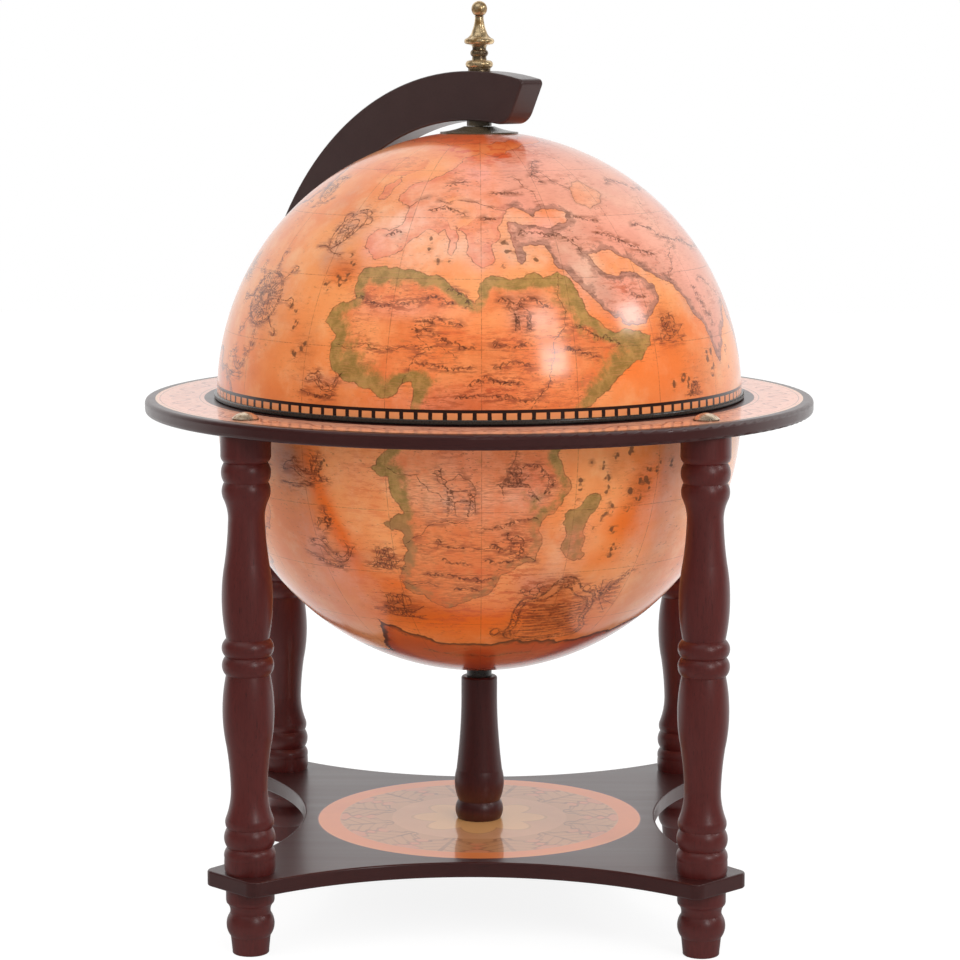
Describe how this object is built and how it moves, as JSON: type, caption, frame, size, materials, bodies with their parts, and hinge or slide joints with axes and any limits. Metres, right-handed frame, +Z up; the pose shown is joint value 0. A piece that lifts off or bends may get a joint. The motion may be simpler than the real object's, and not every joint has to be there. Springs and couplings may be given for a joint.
{
  "type": "tabletop globe bar",
  "caption": "Tabletop globe bar: a printed globe in a round table ring on turned legs, with a shelf; the dome spins under a hinged arm and opens on a bottle and glass insert.",
  "frame": {"origin": "on the floor below the centre of the globe", "axes": "+Z up, front towards -Y, the arm's hinge towards the back-left leg (-X, +Y)"},
  "size_m": [0.4199, 0.42, 0.5691],
  "materials": {
    "mahogany": "satin",
    "dark_arm": "satin",
    "board": "satin",
    "globe_paper": "gloss",
    "table_paper": "gloss",
    "black_plastic": "gloss",
    "brass": "satin",
    "steel": "satin"
  },
  "bodies": {
    "stand": {"shelf": "mahogany", "shelf_print": "table_paper", "foot_studs": "steel", "leg_inserts": "brass", "leg_bolts": "steel", "leg_bolt_caps": "brass", "ring_board": "mahogany", "ring_print": "table_paper", "lower_hemisphere": "globe_paper", "rim_hoop": "board", "hoop_screws": "steel", "column": "mahogany", "column_collar": "black_plastic", "column_top_screw": "steel", "column_base_screw": "steel", "deck": "board", "deck_posts": "board", "glass_floor": "board", "bottle_posts": "board", "bottle_floor": "board", "hinge_ring_leaf": "brass", "hinge_pin": "brass", "hinge_ring_screws": "brass", "leg_front_left": "mahogany", "foot_front_left": "mahogany", "leg_front_right": "mahogany", "foot_front_right": "mahogany", "leg_back_left": "mahogany", "foot_back_left": "mahogany", "leg_back_right": "mahogany", "foot_back_right": "mahogany"},
    "lid": {"arm": "dark_arm", "hinge_arm_leaf": "brass", "hinge_arm_screws": "brass", "finial": "brass", "pivot_rod": "steel", "pivot_collar": "black_plastic", "pivot_washer": "steel", "pivot_nut": "steel"},
    "dome": {"upper_hemisphere": "globe_paper", "dome_rim_trim": "black_plastic", "dome_flange": "black_plastic", "dome_backing_plate": "steel", "flange_screws": "steel"}
  },
  "joints": [
    {"name": "lid_hinge", "type": "hinge", "parent": "stand", "child": "lid", "pos_m": [-0.15047, 0.15047, 0.32495], "axis": [-0.7071, -0.7071, 0], "range_deg": [0, 90]},
    {"name": "dome_spin", "type": "hinge", "parent": "lid", "child": "dome", "pos_m": [0, 0, 0.49], "axis": [0, 0, 1], "continuous": true}
  ]
}
